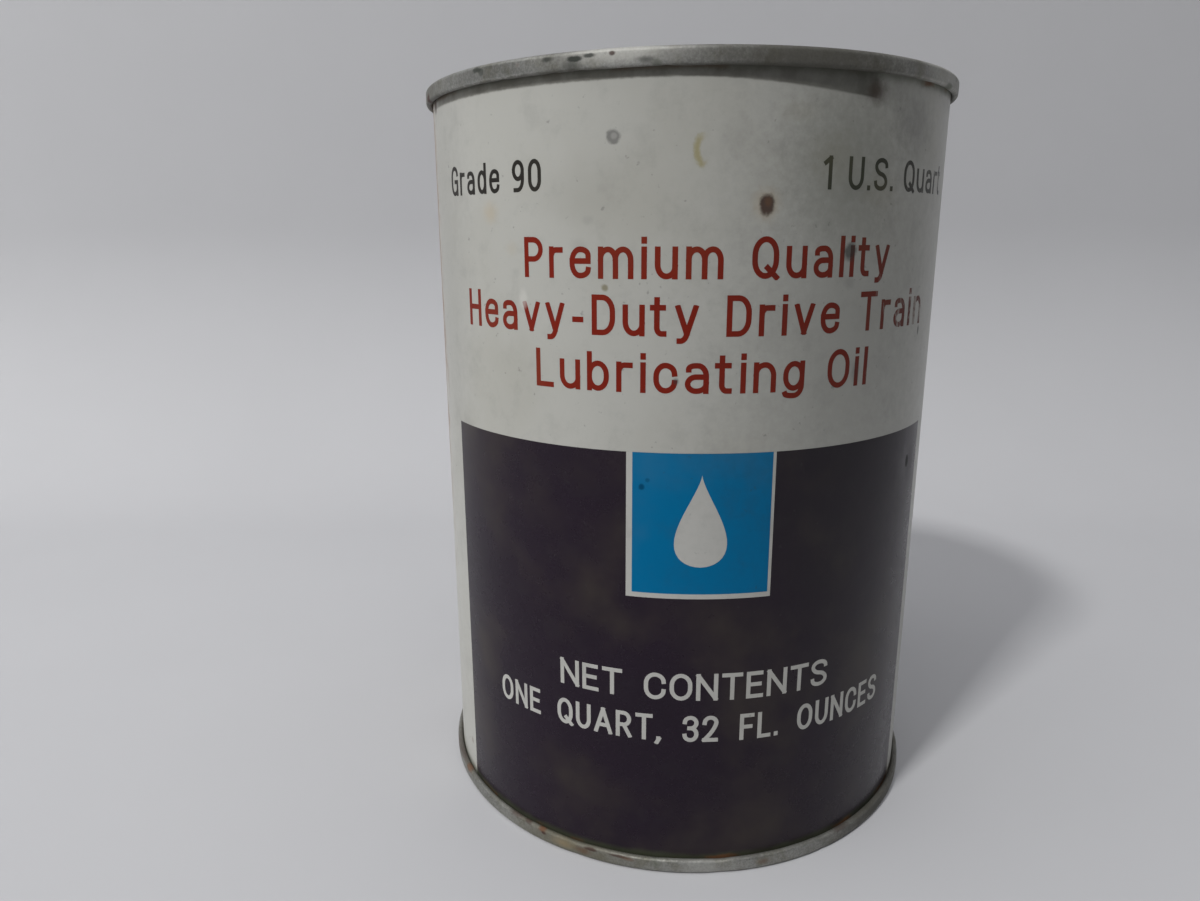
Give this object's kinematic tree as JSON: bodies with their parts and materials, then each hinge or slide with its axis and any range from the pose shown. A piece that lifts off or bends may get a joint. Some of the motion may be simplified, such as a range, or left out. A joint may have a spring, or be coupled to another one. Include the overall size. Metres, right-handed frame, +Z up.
{
  "type": "motor oil can",
  "caption": "Sealed quart tinplate motor oil can: printed cylindrical body with a lock side seam, closed by countersunk, beaded ends in rolled double seams.",
  "frame": {"origin": "on the can's axis, in the plane that the bottom double seam stands on", "axes": "+Z up along the can's axis, -Y out of the middle of the printed front, -X out of the side seam"},
  "size_m": [0.1028, 0.1028, 0.1413],
  "materials": {
    "enamelled_tinplate": "warm white litho enamel, satin, printed near-black, blue, red and white",
    "bare_tinplate": "dull tin plate with fine rolling grain, grime and light rust",
    "solder": "dull grey solder",
    "seam_compound": "matte grey rubber compound",
    "lubricant": "clear amber lubricant"
  },
  "bodies": {
    "root": {"can_body": "enamelled_tinplate", "side_seam_solder": "solder", "top_end": "bare_tinplate", "bottom_end": "bare_tinplate", "top_seam_compound": "seam_compound", "bottom_seam_compound": "seam_compound", "gear_lubricant": "lubricant"}
  },
  "joints": []
}
